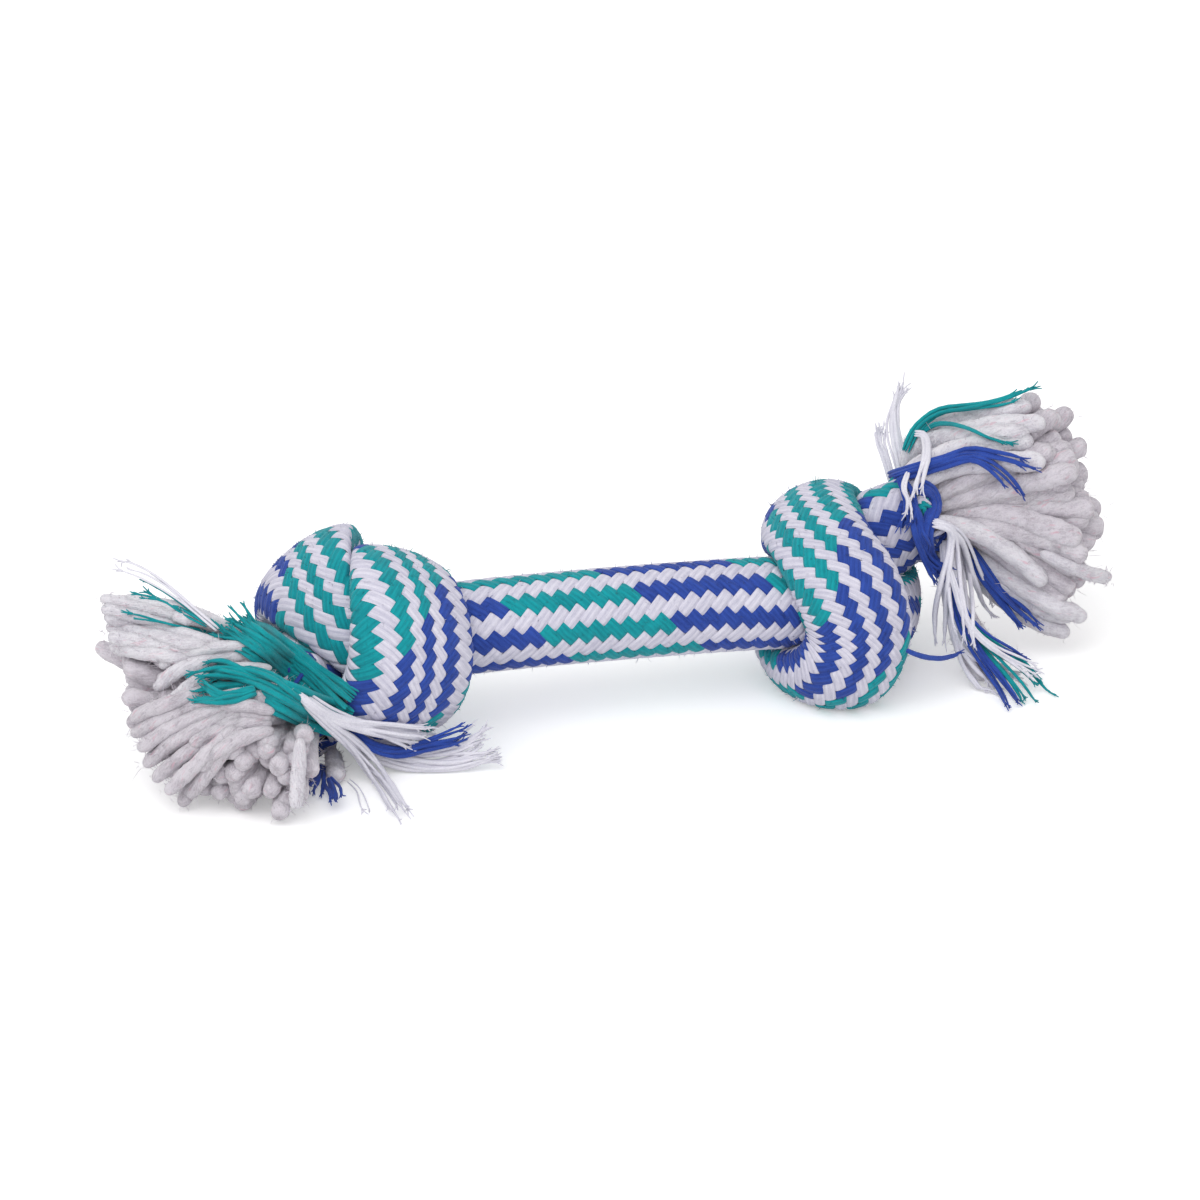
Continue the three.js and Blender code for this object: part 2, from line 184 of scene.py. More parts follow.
def ropeForm():
    # centre line, frames and pressed sections of the whole rope
    form = Rope()
    diameter = rope["diameter"]
    line = smoothPath([placed(point) for point in routePoints], 40)
    runs = runAlong(line)
    pointRuns = runs[::40]
    count = int(runs[-1] / rope["step"]) + 1
    form.run = np.linspace(0.0, runs[-1], count)
    line = softened(sampleAt(form.run, runs, line), 6.0)
    form.centre = line
    form.faces = {name: pointRuns[index] for name, index in seamPoints.items()}
    form.along = unit(np.gradient(line, form.run, axis=0))
    bend = softened(np.gradient(form.along, form.run, axis=0), 8.0)
    middle = int(np.interp((form.faces["leftFace"] + form.faces["rightFace"]) / 2, form.run, np.arange(count)))
    form.side, form.up = carriedFrames(form.along, np.array([0.0, 1.0, 0.0]), middle)

    turns = np.linspace(0.0, 2 * math.pi, rope["angles"], endpoint=False)
    directions = (
        form.side[:, None] * np.cos(turns)[None, :, None] + form.up[:, None] * np.sin(turns)[None, :, None]
    )
    radius = np.full((count, rope["angles"]), diameter / 2)
    for knot in knots:
        offset = line - placed(knot["centre"])
        reach = np.linalg.norm(offset, axis=1) / diameter
        outward = offset - form.along * np.sum(offset * form.along, axis=1, keepdims=True)
        away = np.linalg.norm(outward, axis=1) / diameter
        flat = smoothStep(away, 0.25, 0.6) * (1.0 - smoothStep(reach, 1.2, 1.75))
        thin = lerp(diameter / 2, knot["thinShare"] * diameter, flat)[:, None]
        wide = lerp(diameter / 2, knot["wideShare"] * diameter, flat)[:, None]
        across = np.einsum("kjd,kd->kj", directions, unit(outward))
        pressed = 1.0 / np.sqrt((across / thin) ** 2 + np.maximum(0.0, 1.0 - across**2) / wide**2)
        radius = np.where(flat[:, None] > 0.0, pressed, radius)
    for k in range(count):
        others = (np.abs(form.run - form.run[k]) > diameter / 2) & (np.arange(count) % 3 == 0)
        between = line[others] - line[k]
        distance = np.linalg.norm(between, axis=1)
        facing = directions[k] @ (between / distance[:, None]).T
        limit = np.where(facing > 1e-6, (distance - rope["strandGap"]) / 2 / np.maximum(facing, 1e-6), 1.0)
        radius[k] = np.minimum(radius[k], limit.min(axis=1))
    down = np.where(directions[..., 2] < -1e-6, line[:, None, 2] / np.maximum(-directions[..., 2], 1e-6), 1.0)
    radius = np.minimum(radius, down - 0.0005)
    wrapped = np.concatenate([radius[:, -2:], radius, radius[:, :2]], axis=1)
    radius = (wrapped[:, :-4] + 4 * wrapped[:, 1:-3] + 6 * wrapped[:, 2:-2] + 4 * wrapped[:, 3:-1] + wrapped[:, 4:]) / 16
    form.radius = softened(radius, 2.0)

    # the braid keeps its pitch on the outside of a bend and crowds its columns there
    tightness = np.linalg.norm(bend, axis=1)
    stretch = 1.0 + np.clip(tightness * diameter / 2, 0.0, 0.75) * rope["outsidePitchShare"]
    form.braidRun = np.concatenate([[0.0], np.cumsum((stretch[1:] + stretch[:-1]) / 2 * np.diff(form.run))])
    crowd = -bend / np.maximum(tightness, 1e-6)[:, None]
    amount = rope["crowding"] * np.clip(tightness * 0.75 * diameter, 0.0, 1.0)
    form.crowdSide = softened(np.sum(crowd * form.side, axis=1) * amount, 12.0)
    form.crowdUp = softened(np.sum(crowd * form.up, axis=1) * amount, 12.0)
    lay = sampleAt(form.run, np.linspace(0.0, form.run[-1], len(braidLay)), np.array(braidLay))
    form.twist, form.slip = softened(lay * (math.pi / 180, 1.0), 8.0).T
    return form


def surfacePoints(form, run, turn, lift):
    # points on the rope's skin at a run, a turn round it and a height over it
    row = np.interp(run, form.run, np.arange(len(form.run)))
    low = np.clip(row.astype(int), 0, len(form.run) - 2)
    part = row - low
    column = (turn / (2 * math.pi) % 1.0) * rope["angles"]
    left = column.astype(int) % rope["angles"]
    right = (left + 1) % rope["angles"]
    between = column - np.floor(column)
    radius = (
        (form.radius[low, left] * (1 - between) + form.radius[low, right] * between) * (1 - part)
        + (form.radius[low + 1, left] * (1 - between) + form.radius[low + 1, right] * between) * part
    )
    centre = sampleAt(run, form.run, form.centre)
    side = sampleAt(run, form.run, form.side)
    up = sampleAt(run, form.run, form.up)
    outward = unit(side * np.cos(turn)[:, None] + up * np.sin(turn)[:, None])
    return centre + outward * (radius + lift)[:, None]


def meshObject(name, bm, places, marks, outward=None):
    # the finished mesh: its points moved to their places, with a yarn direction on each
    mesh = bpy.data.meshes.new(name)
    bm.to_mesh(mesh)
    bm.free()
    mesh.vertices.foreach_set("co", np.asarray(places, np.float32).ravel())
    strand = mesh.attributes.new("strand", "FLOAT_VECTOR", "POINT")
    strand.data.foreach_set("vector", np.asarray(marks[:, :3], np.float32).ravel())
    number = mesh.attributes.new("yarnNumber", "FLOAT", "POINT")
    number.data.foreach_set("value", np.asarray(marks[:, 3], np.float32))
    mesh.polygons.foreach_set("use_smooth", [True] * len(mesh.polygons))
    mesh.update()
    if outward is not None:
        faces = [mesh.polygons[k] for k in range(0, len(mesh.polygons), 37)]
        facing = sum(face.normal.dot(Vector(outward[face.vertices[0]])) for face in faces)
        if facing < 0:
            mesh.flip_normals()
    piece = bpy.data.objects.new(name, mesh)
    bpy.context.collection.objects.link(piece)
    return piece


def unitGrid(bm, columns, rows):
    made = bmesh.ops.create_grid(bm, x_segments=columns, y_segments=rows, size=1.0)["verts"]
    return np.array([vert.co[:2] for vert in made])


# lining under the braid, which is also the declared rope
lining = {"depth": 0.0016, "sides": 32, "rings": 700}


def buildLining(form):
    # a long round shape laid along the rope, closed at both ends
    bm = bmesh.new()
    bmesh.ops.create_uvsphere(bm, u_segments=lining["sides"], v_segments=lining["rings"], radius=1.0)
    ball = np.array([vert.co[:] for vert in bm.verts])
    share = np.arccos(np.clip(ball[:, 2], -1, 1)) / math.pi
    run = share * form.run[-1]
    turn = np.arctan2(ball[:, 1], ball[:, 0])
    places = surfacePoints(form, run, turn, np.full(len(ball), -lining["depth"]))
    centre = sampleAt(run, form.run, form.centre)
    pole = (share < 1e-4) | (share > 1 - 1e-4)
    places[pole] = centre[pole]
    marks = np.stack([np.cos(turn), np.sin(turn), run * 1000, np.zeros(len(ball))], 1)
    return meshObject("braidLining", bm, places, marks, places - centre)


# the braid: 16 white yarns of one hand over and under 8 teal and 8 blue of the other
braid = {
    "pitchShare": 0.185,
    "stepsPerCell": 6,
    "across": 6,
    "widthShare": 1.04,
    "lift": 0.00035,
    "dive": (0.72, 1.28),
    "crown": 0.0003,
    "phaseRun": -0.0275,
    "facingTurn": 154.4,
    "facingColumn": 1.5,
    "phaseCells": 0.5,
}


def braidCells(form):
    # how many stitches the braid has run, counted from a stitch in the middle of the toy
    cells = form.braidRun / (braid["pitchShare"] * rope["diameter"])
    between = (form.run > form.faces["leftFace"]) & (form.run < form.faces["rightFace"])
    stitch = np.interp(braid["phaseRun"], form.centre[between, 0], cells[between])
    return cells - stitch + braid["phaseCells"] + form.slip


def braidLine(form, hand, number, cell, across):
    # where a yarn of the braid runs: its run and turn on the rope, and how deep it dives there
    cells = braidCells(form)
    place = number + 0.5 + across * 0.5 * braid["widthShare"]
    if hand == "right":
        column = place - cell
        over = np.abs((number - (cell - column)) % 4 - 2)
    else:
        column = cell - place
        over = np.abs((column + cell - number) % 4 - 1)
        over = np.minimum(over, 4 - over)
    run = np.interp(cell, cells, form.run)
    spin = np.radians((column - braid["facingColumn"]) * 360 / 16 + braid["facingTurn"])
    spin = spin + sampleAt(run, form.run, form.twist)
    crowdSide = sampleAt(run, form.run, form.crowdSide)
    crowdUp = sampleAt(run, form.run, form.crowdUp)
    turn = spin
    for _ in range(12):
        turn = spin - (np.sin(turn) * crowdSide - np.cos(turn) * crowdUp)
    return run, turn, over


def buildYarns(form, name, hand, numbers, startRun, endRun):
    # yarns of one colour between two runs, as ribbons that dive under the other hand
    startCell, endCell = np.interp([startRun, endRun], form.run, braidCells(form))
    steps = int((endCell - startCell) * 2) * braid["stepsPerCell"]
    bm = bmesh.new()
    allPlaces, allMarks, allOutward = [], [], []
    for number in numbers:
        grid = unitGrid(bm, steps, braid["across"])
        across = grid[:, 1]
        cell = lerp(startCell, endCell, (grid[:, 0] + 1) / 2)
        run, turn, over = braidLine(form, hand, number, cell, across)
        lift = -2 * braid["lift"] * smoothStep(over, *braid["dive"]) - braid["crown"] * np.abs(across) ** 3.5
        places = surfacePoints(form, run, turn, lift)
        allPlaces.append(places)
        allOutward.append(places - sampleAt(run, form.run, form.centre))
        allMarks.append(np.stack([across, np.zeros(len(run)), run * 1000, np.full(len(run), number + 0.5)], 1))
    return meshObject(name, bm, np.concatenate(allPlaces), np.concatenate(allMarks), np.concatenate(allOutward))


# fine loose fibres that stand off the cotton
fuzz = {
    "radius": 0.00009, "perYarn": 60, "yarnLength": (0.0008, 0.003), "from": 0.25,
    "perStitchColour": 2600, "stitchLength": (0.0006, 0.0016),
}


def buildFuzz(name, roots, outward, along, numbers, lengths, seed):
    chance = np.random.default_rng(seed)
    shape = bmesh.new()
    bmesh.ops.create_uvsphere(shape, u_segments=3, v_segments=4, radius=1.0)
    plain = bpy.data.meshes.new("plainFibre")
    shape.to_mesh(plain)
    shape.free()
    ball = np.array([vert.co[:] for vert in plain.vertices])
    count = len(roots)
    length = chance.uniform(*lengths, (count, 1, 1))
    lean = along * chance.uniform(-0.7, 1.0, (count, 1)) + chance.normal(0, 0.45, (count, 3))
    aside = unit(np.cross(outward, lean))
    roots, outward, lean, aside = (values[:, None] for values in (roots, outward, lean, aside))
    share = ((1 - ball[:, 2]) / 2)[None, :, None]
    turn = np.arctan2(ball[:, 1], ball[:, 0])[None, :, None]
    thick = fuzz["radius"] * np.sqrt(np.clip(1 - np.abs(ball[:, 2]) ** 8, 0, 1))[None, :, None] * (1 - 0.5 * share)
    bent = outward * share * (1 - 0.4 * share) + lean * share**2 * 0.7
    places = roots + bent * length + aside * thick * np.cos(turn) + np.cross(outward, aside) * thick * np.sin(turn)
    places[..., 2] = np.maximum(places[..., 2], 0.0003)
    marks = np.concatenate([
        np.broadcast_to(np.cos(turn), (count, len(ball), 1)), np.broadcast_to(np.sin(turn), (count, len(ball), 1)),
        share * length * 1000, np.broadcast_to(np.asarray(numbers, float)[:, None, None], (count, len(ball), 1)),
    ], 2)
    bm = bmesh.new()
    for _ in range(count):
        bm.from_mesh(plain)
    bpy.data.meshes.remove(plain)
    return meshObject(name, bm, places.reshape(-1, 3), marks.reshape(-1, 4))


def braidFuzz(form, name, hand, numbers, body, seed):
    # fibres on the stitches that lie on top, in one body's stretch of the rope
    chance = np.random.default_rng(seed)
    cells = braidCells(form)
    number = chance.integers(numbers[0], numbers[-1] + 1, fuzz["perStitchColour"] * 2)
    cell = chance.uniform(cells[0], cells[-1], len(number))
    run, turn, over = braidLine(form, hand, number, cell, chance.uniform(-0.8, 0.8, len(number)))
    half = (form.faces["leftFace"], form.faces["rightFace"])
    inside = {"left_half": run < half[0], "right_half": run > half[1], None: (run > half[0]) & (run < half[1])}[body]
    top = (over < 0.75) & inside
    run, turn, number = run[top], turn[top], number[top]
    skin = surfacePoints(form, run, turn, np.zeros(len(run)))
    outward = unit(skin - sampleAt(run, form.run, form.centre))
    along = unit(sampleAt(run, form.run, form.along))
    return buildFuzz(name, skin - outward * 0.0003, outward, along, number + 0.5, fuzz["stitchLength"], seed)


def buildStrands(name, strands, sides, rings):
    # round strands along their own paths, blunt at both ends, lumpy where asked
    ballShape = bmesh.new()
    bmesh.ops.create_uvsphere(ballShape, u_segments=sides, v_segments=rings, radius=1.0)
    plain = bpy.data.meshes.new("plainStrand")
    ballShape.to_mesh(plain)
    ballShape.free()
    ball = np.array([vert.co[:] for vert in plain.vertices])
    bm = bmesh.new()
    allPlaces, allMarks, allOutward = [], [], []
    for strand in strands:
        bm.from_mesh(plain)
        path = smoothPath(strand["path"], 8)
        runs = runAlong(path)
        along = unit(np.gradient(path, runs, axis=0))
        aside = np.array([0.0, 0.0, 1.0]) if abs(along[0, 2]) < 0.9 else np.array([1.0, 0.0, 0.0])
        side, up = carriedFrames(along, aside, 0)
        share = (1 - ball[:, 2]) / 2
        run = share * runs[-1]
        turn = np.arctan2(ball[:, 1], ball[:, 0])
        blunt = np.sqrt(np.clip(1 - np.abs(ball[:, 2]) ** strand.get("blunt", 8), 0, 1))
        radiusShares = np.linspace(0, 1, len(strand["radii"]))
        path[:, 2] = np.maximum(path[:, 2], np.interp(runs / runs[-1], radiusShares, strand["radii"]) + 0.0004)
        radius = np.interp(share, radiusShares, strand["radii"]) * blunt
        seed = strand["number"]
        lumps = (
            np.sin(share * 23 + seed * 1.7 + 1.3 * np.sin(turn + seed)) + 0.6 * np.sin(share * 41 + seed * 4.1 + turn)
            + 0.5 * np.sin(share * 77 + seed * 2.3 - 2 * turn) + 0.4 * np.sin(3 * turn + seed * 5.1 + share * 9)
        )
        radius = radius * (1 + strand.get("lumps", 0.0) * lumps * share)
        centre = sampleAt(run, runs, path)
        outward = (
            sampleAt(run, runs, side) * np.cos(turn)[:, None] + sampleAt(run, runs, up) * np.sin(turn)[:, None]
        )
        places = centre + outward * radius[:, None]
        twisted = turn + run * strand.get("twist", 200.0)
        allPlaces.append(places)
        allOutward.append(outward)
        allMarks.append(np.stack([np.cos(twisted), np.sin(twisted), run * 1000, np.full(len(run), seed)], 1))
    bpy.data.meshes.remove(plain)
    return meshObject(name, bm, np.concatenate(allPlaces), np.concatenate(allMarks), np.concatenate(allOutward))


# the core yarns, cut and fanned out at each end, places in millimetres
fans = {
    "left": {
        "yarns": 132, "middle": (-96, -19, 19.5), "across": (-21, 25, 5), "upward": (2, 10, 18), "bulge": 14,
        "radii": (0.0012, 0.002, 0.0023, 0.0022),
    },
    "right": {
        "yarns": 128, "middle": (105.5, 14, 32), "across": (-5, 20, 0), "upward": (0, 6, 28.5), "bulge": 15.5,
        "radii": (0.0011, 0.0021, 0.0027, 0.0027),
    },
}
tasselYarn = {"sleeveWall": 0.0036, "lumps": 0.07, "straightShare": 0.36, "reach": (0.95, 1.06), "stray": 0.0009}


class Fan:
    # one end's fan starts on the last ring of the rope and looks out along it
    def __init__(self, form, side):
        plan = fans[side]
        self.form = form
        self.last = 0 if side == "left" else len(form.run) - 1
        self.along = form.along[self.last] * (-1 if side == "left" else 1)
        self.root = form.centre[self.last]
        self.middle = placed(plan["middle"])
        self.across = np.array(plan["across"]) * 0.001
        self.upward = np.array(plan["upward"]) * 0.001
        self.bulge = plan["bulge"] * 0.001
        self.radii = plan["radii"]
        self.rootAcross = unit(self.across - self.along * self.across.dot(self.along))
        level = unit(self.upward - self.rootAcross * self.upward.dot(self.rootAcross))
        self.rootUpward = unit(level - self.along * level.dot(self.along))

    def ropeTurn(self, across, upward):
        # the same direction, as a turn round the rope's own section
        towards = self.rootAcross * across + self.rootUpward * upward
        return math.atan2(towards.dot(self.form.up[self.last]), towards.dot(self.form.side[self.last]))

    def curve(self, across, upward, reach=1.0):
        away = math.hypot(across, upward)
        edge = surfacePoints(self.form, self.form.run[[self.last]], np.array([self.ropeTurn(across, upward)]),
                             np.array([-tasselYarn["sleeveWall"] - self.radii[0]]))[0]
        start = self.root + (edge - self.root) * away
        dome = self.bulge * (1 - across**2 - upward**2)
        end = self.middle + self.across * across + self.upward * upward + self.along * dome
        end[2] = max(end[2], self.radii[-1] + 0.0004)
        turn = start + self.along * np.linalg.norm(end - start) * tasselYarn["straightShare"]
        shares = np.linspace(0, reach, 7)[:, None]
        return (1 - shares) ** 2 * start + 2 * shares * (1 - shares) * turn + shares**2 * end


def tasselStrands(form, side, seed):
    # yarns spaced like sunflower seeds, each a little astray and cut to its own length
    chance = random.Random(seed)
    fan = Fan(form, side)
    count = fans[side]["yarns"]
    strands = []
    for k in range(count):
        away = math.sqrt((k + 0.5) / count) * 0.93
        turn = k * math.pi * (3 - math.sqrt(5)) + chance.uniform(-0.25, 0.25)
        path = fan.curve(away * math.cos(turn), away * math.sin(turn), chance.uniform(*tasselYarn["reach"]))
        stray = np.array([chance.gauss(0, tasselYarn["stray"]) for _ in range(3)])
        sway = np.array([chance.gauss(0, tasselYarn["stray"]) for _ in range(3)])
        shares = np.linspace(0, 1, len(path))[:, None]
        path = path + stray * shares**2 + sway * np.sin(shares * math.pi * 1.5) * shares
        path = np.concatenate([[path[0] - fan.along * 0.003], path])
        grown = chance.uniform(0.85, 1.15)
        radii = [fan.radii[0]] + [radius * grown for radius in fan.radii[1:]]
        strands.append({"path": path, "radii": radii, "lumps": tasselYarn["lumps"], "number": k + 0.37, "blunt": 22,
                        "twist": 150.0})
    return strands


def tasselFuzz(name, strands, seed):
    # fibres on the outer part of each yarn
    chance = np.random.default_rng(seed)
    allRoots, allOutward, allAlong, allNumbers = [], [], [], []
    for strand in strands:
        path = smoothPath(strand["path"], 6)
        share = chance.uniform(fuzz["from"], 1.0, fuzz["perYarn"])
        shares = np.linspace(0, 1, len(path))
        along = unit(sampleAt(share, shares, unit(np.gradient(path, axis=0))))
        spread = chance.normal(0, 1, (len(share), 3))
        outward = unit(spread - along * np.sum(spread * along, axis=1, keepdims=True) * (share < 0.96)[:, None])
        radius = np.interp(share, np.linspace(0, 1, len(strand["radii"])), strand["radii"])[:, None]
        allRoots.append(sampleAt(share, shares, path) + outward * radius * 0.85)
        allOutward.append(outward)
        allAlong.append(along)
        allNumbers.append(np.full(len(share), strand["number"]))
    return buildFuzz(name, np.concatenate(allRoots), np.concatenate(allOutward), np.concatenate(allAlong),
                     np.concatenate(allNumbers), fuzz["yarnLength"], seed)


# frayed yarns of the sleeve, each bundle by its places in the photograph's own 1200 pixel frame
# and, where it lies on nothing, how near the viewer in millimetres
frays = {
    "leftTealLong": {"colour": "teal", "stands": "left_fray_teal_long", "bundles": [
        {"threads": 20, "radius": 0.0008, "spread": (0.0036, 0.0042),
         "path": [(352, 717, 40), (334, 706), (318, 694), (300, 680), (280, 664), (262, 650), (242, 636), (226, 624)]},
        {"threads": 9, "radius": 0.0006, "spread": (0.0024, 0.0044), "path": [(284, 664), (262, 648), (244, 634), (230, 622)]},
        {"threads": 14, "radius": 0.0007, "spread": (0.0028, 0.003),
         "path": [(352, 702, 37), (332, 686), (310, 668), (288, 652), (268, 640), (248, 630)]},
        {"threads": 2, "radius": 0.0004, "spread": (0.0005, 0.0012), "path": [(208, 624), (190, 612, 48), (168, 598, 45), (144, 584, 43)]},
        {"threads": 2, "radius": 0.0004, "spread": (0.0005, 0.001), "path": [(208, 626), (190, 614, 48), (165, 603, 45), (136, 599, 43)]},
        {"threads": 2, "radius": 0.0004, "spread": (0.0004, 0.0006), "path": [(214, 634), (190, 628), (160, 621), (131, 616)]},
    ]},
    "leftTealShort": {"colour": "teal", "stands": "left_fray_teal_short", "bundles": [
        {"threads": 17, "radius": 0.0008, "spread": (0.0032, 0.0036),
         "path": [(350, 728, 42), (332, 721), (308, 710), (286, 697), (266, 687), (240, 681), (215, 680), (194, 684)]},
        {"threads": 8, "radius": 0.0006, "spread": (0.001, 0.0028), "path": [(256, 690), (236, 696), (216, 698), (198, 692)]},
        {"threads": 7, "radius": 0.0006, "spread": (0.001, 0.0024), "path": [(262, 684), (240, 673), (222, 668), (206, 670)]},
    ]},
    "leftWhiteBack": {"colour": "white", "stands": "left_fray_white_back", "bundles": [
        {"threads": 4, "radius": 0.0003, "spread": (0.0005, 0.002),
         "path": [(218, 630), (196, 611, 50), (178, 595, 48), (160, 582, 46), (138, 571, 44), (117, 565, 42)]},
    ]},
    "leftWhiteSide": {"colour": "white", "stands": None, "bundles": [
        {"threads": 18, "radius": 0.0006, "spread": (0.002, 0.005),
         "path": [(350, 738), (390, 753), (430, 759), (465, 753), (490, 742)]},
        {"threads": 2, "radius": 0.0003, "spread": (0.0005, 0.001), "path": [(348, 780), (360, 792), (367, 811)]},
    ]},
    "leftBlueSide": {"colour": "blue", "stands": "left_fray_blue_side", "bundles": [
        {"threads": 6, "radius": 0.00055, "spread": (0.001, 0.0022),
         "path": [(350, 730), (371, 744), (400, 751), (425, 746), (450, 739), (467, 733)]},
        {"threads": 5, "radius": 0.0006, "spread": (0.001, 0.0026), "path": [(322, 764), (317, 778), (311, 790)]},
        {"threads": 5, "radius": 0.0006, "spread": (0.001, 0.0018), "path": [(327, 778), (332, 789), (334, 801)]},
    ]},
    "leftWhiteFront": {"colour": "white", "stands": "left_fray_white_front", "bundles": [
        {"threads": 8, "radius": 0.0006, "spread": (0.0006, 0.0024),
         "path": [(296, 692, 43), (320, 711), (345, 722), (382, 731), (424, 739)]},
        {"threads": 4, "radius": 0.00055, "spread": (0.0006, 0.002),
         "path": [(304, 694, 43), (330, 712), (356, 722), (392, 727), (430, 731)]},
        {"threads": 8, "radius": 0.0006, "spread": (0.0006, 0.0026),
         "path": [(298, 696, 45), (325, 722), (349, 742), (374, 772), (402, 815)]},
        {"threads": 3, "radius": 0.0005, "spread": (0.0006, 0.0016), "path": [(330, 724), (352, 746), (366, 768), (384, 783)]},
    ]},
    "rightTealTop": {"colour": "teal", "stands": "right_fray_teal_top", "bundles": [
        {"threads": 4, "radius": 0.00055, "spread": (0.0009, 0.0011),
         "path": [(905, 452), (916, 430), (939, 411), (969, 406), (1002, 401), (1029, 392)]},
        {"threads": 2, "radius": 0.00045, "spread": (0.0004, 0.0006),
         "path": [(912, 440), (937, 424), (965, 427), (988, 436), (1016, 444)]},
    ]},
    "rightBlueTop": {"colour": "blue", "stands": "right_fray_blue_top", "bundles": [
        {"threads": 3, "radius": 0.00065, "spread": (0.0009, 0.0016),
         "path": [(888, 476, -20), (916, 468), (944, 460), (969, 452), (992, 455), (1016, 461), (1034, 468)]},
        {"threads": 4, "radius": 0.0006, "spread": (0.0007, 0.0018),
         "path": [(892, 478, -19), (944, 463), (969, 456), (990, 463), (1008, 478), (1022, 497)]},
    ]},
    "rightWhiteBack": {"colour": "white", "stands": "right_fray_white_back", "bundles": [
        {"threads": 7, "radius": 0.0005, "spread": (0.0012, 0.0012),
         "path": [(903, 478, -18), (897, 450, -21), (892, 425, -23), (894, 405, -25), (903, 386, -27)]},
        {"threads": 6, "radius": 0.0005, "spread": (0.0008, 0.0012),
         "path": [(893, 484, -18), (886, 458, -20), (880, 440, -22), (879, 428, -22)]},
    ]},
    "rightWhiteLow": {"colour": "white", "stands": None, "bundles": [
        {"threads": 9, "radius": 0.0007, "spread": (0.0008, 0.0044),
         "path": [(944, 540), (951, 580), (960, 622), (976, 650), (998, 666), (1022, 678)]},
        {"threads": 9, "radius": 0.0007, "spread": (0.0008, 0.004),
         "path": [(944, 540), (949, 580), (957, 624), (970, 656), (986, 674), (1004, 688)]},
    ]},
    "rightMixedLow": {"colour": "teal", "stands": None, "bundles": [
        {"threads": 3, "radius": 0.0005, "spread": (0.0007, 0.0016), "path": [(950, 576), (966, 620), (990, 644), (1025, 666), (1052, 692)]},
        {"threads": 3, "radius": 0.0005, "spread": (0.0007, 0.0018), "path": [(948, 580), (962, 626), (988, 652), (1012, 680), (1028, 706)]},
    ]},
    "rightBlueLow": {"colour": "blue", "stands": "right_fray_blue_low", "bundles": [
        {"threads": 7, "radius": 0.0006, "spread": (0.0014, 0.0024), "path": [(966, 550), (986, 578), (1006, 602), (1030, 626)]},
        {"threads": 3, "radius": 0.0005, "spread": (0.0008, 0.0018), "path": [(950, 572), (966, 618), (985, 638), (1015, 653), (1038, 668)]},
        {"threads": 4, "radius": 0.0005, "spread": (0.0009, 0.0022), "path": [(948, 572), (962, 624), (980, 656), (1000, 684), (1012, 704)]},
        {"threads": 8, "radius": 0.00065, "spread": (0.0013, 0.0013),
         "path": [(918, 486), (930, 493), (935, 506), (929, 524), (926, 541), (930, 556), (938, 568), (946, 574)]},
        {"threads": 5, "radius": 0.00055, "spread": (0.0009, 0.0018), "path": [(900, 476), (908, 494), (911, 512), (906, 528)]},
        {"threads": 5, "radius": 0.00055, "spread": (0.0009, 0.0018), "path": [(906, 498), (917, 514), (920, 534), (928, 552)]},
        {"threads": 5, "radius": 0.00055, "spread": (0.0009, 0.0022), "path": [(914, 522), (918, 542), (928, 562), (942, 576)]},
        {"threads": 1, "radius": 0.0006, "spread": (0.0002, 0.0002),
         "path": [(902, 648, -20), (918, 655), (940, 658), (957, 654), (968, 642)]},
    ]},
    "rightWhiteFront": {"colour": "white", "stands": "right_fray_white_front", "bundles": [
        {"threads": 4, "radius": 0.0005, "spread": (0.0007, 0.0014), "path": [(950, 570), (966, 620), (988, 643), (1014, 660), (1042, 678)]},
        {"threads": 2, "radius": 0.00065, "spread": (0.0007, 0.0016),
         "path": [(932, 524, -3), (949, 528), (950, 546), (946, 580), (942, 615), (939, 645)]},
        {"threads": 3, "radius": 0.00065, "spread": (0.0007, 0.0022),
         "path": [(932, 522, -3), (952, 530), (957, 560), (958, 600), (961, 645)]},
        {"threads": 2, "radius": 0.00065, "spread": (0.0007, 0.0014),
         "path": [(933, 521, -3), (956, 534), (964, 565), (970, 605), (975, 645)]},
        {"threads": 3, "radius": 0.00065, "spread": (0.0009, 0.0016), "path": [(934, 522, -3), (958, 536), (972, 566), (984, 595), (992, 617)]},
        {"threads": 3, "radius": 0.0006, "spread": (0.001, 0.001),
         "path": [(914, 434), (923, 436), (926, 454), (920, 480), (916, 504)]},
        {"threads": 2, "radius": 0.0005, "spread": (0.0006, 0.0008), "path": [(908, 472), (904, 488), (906, 500), (910, 513)]},
    ]},
}
fray = {"lift": 0.0012, "wave": 0.0006, "tipFibres": 5, "tipRadius": 0.00013, "tipLength": 0.0024}
